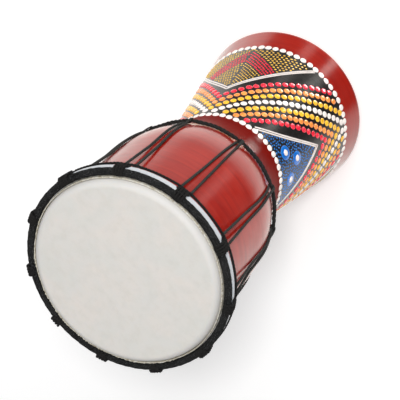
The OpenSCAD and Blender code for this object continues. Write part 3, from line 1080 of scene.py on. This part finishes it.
def build_hitch(node, hitch, phase):
    """Four fat turns over the crown ring, and two bights wound across their foot."""
    solid = Solid()
    cord_d, fill = 3.0, 1.26
    route = hitch_route(cord_d / 2 - 0.1)

    def hitch_press(p):
        place = Vector((p.xy.length, p.z))
        share = min(route, key=lambda step: (step[0] - place).length)[1]
        return 1.0, share

    for turn in (-1.5, -0.5, 0.5, 1.5):
        offset = turn * (cord_d - 0.2)
        line = []
        for i, (p, _) in enumerate(route[1 if abs(turn) > 1 else 0:]):
            squeeze = 0.78 + 0.22 * min(1, i / 4)
            line.append(around(p.x, hitch + math.degrees(offset * squeeze / CROWN_R), p.y))
        solid.cord(line, cord_d, HITCH_PITCH, phase=phase + turn * 2, fine=10, fill=fill,
                   press=hitch_press)
    r = HOOP_R + HOOP_ROD + SKIN_T
    for lift, wide, thick in BIGHTS:
        bight = [around(r + dr, hitch + math.degrees(x * wide / r), HOOP_Z + dz + lift)
                 for x, dr, dz in BIGHT]
        solid.cord(bight, thick, HITCH_PITCH, phase=phase, fill=fill)
    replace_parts(solid.build("hitched_" + node, "black_cord", CORD), node)


def build_link():
    """Link cord: from hitch to hitch under the fold, behind each hitch's foot."""
    solid = Solid()
    count = len(HITCH_ANGLES)
    points = []
    knot = node_angle("tie_off_knot")
    for i, angle in enumerate(HITCH_ANGLES):
        onward = (HITCH_ANGLES[(i + 1) % count] - angle) % 360
        margin = half_angle(HITCH_W, LINK_R) + 0.3
        points.append(around(LINK_R - 0.6, angle, LINK_Z - LINK_DIP - 0.5))  # behind the foot
        for share in (0.0, 0.12, 0.3, 0.5, 0.7, 0.88, 1.0):
            dip = ((1 - share) ** 3 + share ** 3) * LINK_DIP
            at = angle + margin + (onward - 2 * margin) * share
            near_knot = max(0.0, 1 - apart(at, knot) / 7)
            points.append(around(LINK_R, at, LINK_Z - dip - KNOT_DROP * near_knot))
    solid.cord(points, LINK_D, LINK_PITCH, closed=True)
    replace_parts(solid.build("laced_link_cord", "black_cord", CORD), "crown_link_cord")


def build_waist_ring():
    """Heavy cord round the lower bowl: lying on the wood, and pinched and lifted at each anchor."""
    anchors = [anchor_angle(a) for a in HITCH_ANGLES]
    span = half_angle(2 * ANCHOR_HALF, ANCHOR_R)
    points = []
    for i, a0 in enumerate(anchors):
        a1 = a0 + (anchors[(i + 1) % len(anchors)] - a0) % 360
        for share in (0, 0.2, 0.4, 0.6, 0.8, 1):
            z = RING_HIGH_Z - (RING_HIGH_Z - RING_LOW_Z) * math.sin(math.pi * share)
            r = ANCHOR_R if share in (0, 1) else off_wood(z, WAIST_RING_D / 2 + WOOD_GAP)
            points.append(around(r, a0 + span + (a1 - a0 - 2 * span) * share, z))

    def ring_press(p):
        here = math.degrees(math.atan2(p.y, p.x))
        away = min(apart(here, a) for a in anchors)
        pinch = held(1 - (away - span) / 3)
        share = 1 + (PINCHED_R / (WAIST_RING_D / 2) - 1) * pinch
        return share, share

    solid = Solid()
    solid.cord(points, WAIST_RING_D, RING_PITCH, closed=True, sides=10, fine=12, press=ring_press)
    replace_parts(solid.build("laced_waist_ring", "black_cord", HEAVY_CORD), "waist_ring")


def build_knot():
    """Where the lacing's two ends are tied: an overhand knot with two short frayed tails."""
    solid = Solid()
    knot = node_angle("tie_off_knot")
    middle = around(LINK_R, knot, LINK_Z - KNOT_DROP)
    out = around(1, knot, 0)
    side = Vector((-out.y, out.x, 0))
    up = Vector((0, 0, 1))
    loop, steps, size = [], 25, 0.85
    for k in range(steps + 1):
        t = TAU * (k / steps) * 0.94 + 0.2
        x = math.sin(t) + 2 * math.sin(2 * t)
        y = math.cos(t) - 2 * math.cos(2 * t)
        loop.append(middle + side * x * size + up * y * size - out * math.sin(3 * t))
    solid.cord(loop, KNOT_D, KNOT_PITCH)
    for lean in (-16, 14):
        a = math.radians(lean)
        direction = (-up * math.cos(a) + side * math.sin(a)).normalized()
        tail = [middle + direction * d + out * (0.35 * math.sin(d)) for d in (1, 4, 8, 12, 15.6)]
        solid.cord(tail, KNOT_D, KNOT_PITCH, phase=lean)
        for k in range(9):
            spread = side * rng.uniform(-0.9, 0.9) + out * rng.uniform(-0.6, 0.6)
            start = tail[-1] + spread * 0.7 - direction * 0.8
            fibre = [start, start + direction * 1.2 + spread * 0.3, start + direction * 2 + spread]
            path = smooth_path(fibre, 0.5)
            solid.tube(path, frames_along(path), 0.22, 5)
    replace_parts(solid.build("tied_off_knot", "black_cord", CORD), "tie_off_knot")


build_shell()
build_painting()
build_skin()
build_collar()
build_crown_cloth()
for number, (node, angle) in enumerate(zip(HITCHES, HITCH_ANGLES)):
    build_hitch(node, angle, number * 1.3)
for number, (node, angle) in enumerate(zip(RUNS, HITCH_ANGLES)):
    build_run(node, angle, number * 0.9)
build_link()
build_waist_ring()
build_knot()
rod = steel()
for node in ("flesh_hoop", "crown_ring_core"):
    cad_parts[node].data.materials.clear()
    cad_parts[node].data.materials.append(rod)


# ---- floor, light and camera ----

# Fitted to the circles of the drum in the photo
CAMERA_AT = Vector((-0.00984, -1.41006, 2.17861))
CAMERA_FORWARD = Vector((0.00261, 0.58627, -0.81011))
CAMERA_UP = Vector((0.68613, -0.59039, -0.42505))
CAMERA_LENS = 216.72
DRUM_MIDDLE = (0, 0, 0.2)
WALLS, SKY = 1.02, 0.46  # brightness of the surroundings below and above the horizon
WARM_WALLS = (1, 0.95, 0.9)
# Patches of the surroundings that are darker or brighter, with azimuths in degrees from the front
# and heights from -1, straight down, to 1: (azimuths, heights, softness in degrees, level)
PATCHES = [
    ((-68, 78), (-0.79, 0.1), 8, -1.1),
    ((-66, 14), (-0.92, -0.79), 8, -1.0),
    ((14, 72), (-0.92, -0.79), 8, -0.55),
    ((-12, -2), (-0.83, -0.3), 2.5, 3.2),
    ((20, 32), (-0.76, -0.3), 4, 1.4),
]
PATCH_SOFT = 0.035  # softness of a patch's lower and upper edges


def build_floor():
    """Pale floor, tinted a little warmer round the drum as painted red bounce light from it."""
    f = Finish("pale_studio_floor")
    grain = f.noise(9, detail=2)
    # Painted reflection: the red drum's bounce light, as a warm tint on the floor near it
    painted_red_bounce = f.ramp(f.maths("MULTIPLY", f.length(f.place), 2), (0.15, (1.0, 0.96, 0.94)), (0.45, 1.0))
    colour = f.mix(1.0, f.ramp(grain, (0.0, 0.88), (1.0, 0.92)), painted_red_bounce, "MULTIPLY")
    f.set(Base_Color=colour, Roughness=0.9, Emission_Color=(1, 1, 1), Emission_Strength=0.3)
    bpy.ops.mesh.primitive_plane_add(size=14, location=(0, 0, 0))
    floor = bpy.context.object
    floor.name = "studio_floor"
    floor.data.materials.append(f.material)
    floor.visible_glossy = False  # the drum's gloss shows the studio round it


def soft_box(name, position, aim, width, height, power):
    """A lamp with a rectangular face, of this size in metres and power in watts."""
    light = bpy.data.lights.new(name, "AREA")
    light.shape, light.size, light.size_y = "RECTANGLE", width, height
    light.energy = power
    lamp = bpy.data.objects.new(name, light)
    lamp.location = position
    lamp.rotation_euler = (Vector(aim) - Vector(position)).to_track_quat("-Z", "Y").to_euler()
    bpy.context.scene.collection.objects.link(lamp)
    return lamp


def build_camera():
    data = bpy.data.cameras.new("camera")
    data.lens, data.sensor_width = CAMERA_LENS, 36
    data.clip_start, data.clip_end = 0.01, 100
    camera = bpy.data.objects.new("camera", data)
    forward = CAMERA_FORWARD.normalized()
    right = forward.cross(CAMERA_UP).normalized()
    turn = Matrix((right, right.cross(forward), -forward)).transposed()
    camera.matrix_world = Matrix.Translation(CAMERA_AT) @ turn.to_4x4()
    bpy.context.scene.collection.objects.link(camera)
    bpy.context.scene.camera = camera
    return camera


def build_surroundings():
    """White studio walls, darker on the camera's side, with two strips of light in the dark."""
    world = bpy.data.worlds.new("studio")
    bpy.context.scene.world = world
    n = Nodes(world, "Generated")
    x, y, z = n.xyz()

    def edge(value, at, soft):
        """0 below a value and 1 above it, or the reverse where soft is negative."""
        limits = {"Value": value, "From Min": at - soft, "From Max": at + soft}
        return n.node("MapRange", limits, interpolation_type="SMOOTHSTEP").outputs[0]

    def between(value, low, high, soft):
        return n.maths("MULTIPLY", edge(value, low, soft), edge(value, high, -soft))

    to_front = n.maths("MULTIPLY", y, -1.0)
    azimuth = n.maths("MULTIPLY", n.maths("ARCTAN2", x, to_front), 180 / math.pi)
    level = n.maths("MULTIPLY_ADD", n.maths("GREATER_THAN", azimuth, 0), 0.13, WALLS)
    for azimuths, heights, soft, change in PATCHES:
        patch = n.maths("MULTIPLY", between(azimuth, *azimuths, soft),
                        between(z, *heights, PATCH_SOFT))
        level = n.maths("ADD", level, n.maths("MULTIPLY", patch, change))
    above = n.maths("GREATER_THAN", z, 0)
    upper = n.maths("MULTIPLY_ADD", above, SKY / WALLS - 1, 1.0)
    background = n.tree.nodes["Background"].inputs
    n.feed(background["Color"], n.mix(above, WARM_WALLS, (1, 1, 1)))
    n.feed(background["Strength"], n.maths("MULTIPLY", n.maths("MAXIMUM", level, 0.0), upper))


build_floor()
camera = build_camera()
build_surroundings()
soft_box("key", (0.75, -1.95, 1.6), DRUM_MIDDLE, 1.2, 1.2, 19)
beside_camera = camera.matrix_world @ Vector((-0.12, 0.07, 0))
soft_box("fill_by_camera", beside_camera, DRUM_MIDDLE, 0.28, 0.28, 25)
glint = soft_box("glint_on_dots", (0, -0.128, 0.003), (0, -0.08, 0.12), 0.09, 0.014, 0.1)
glint.visible_diffuse = glint.visible_camera = False
glint.light_linking.receiver_collection = DOT_PIECES
bpy.context.scene.view_settings.view_transform = "Standard"
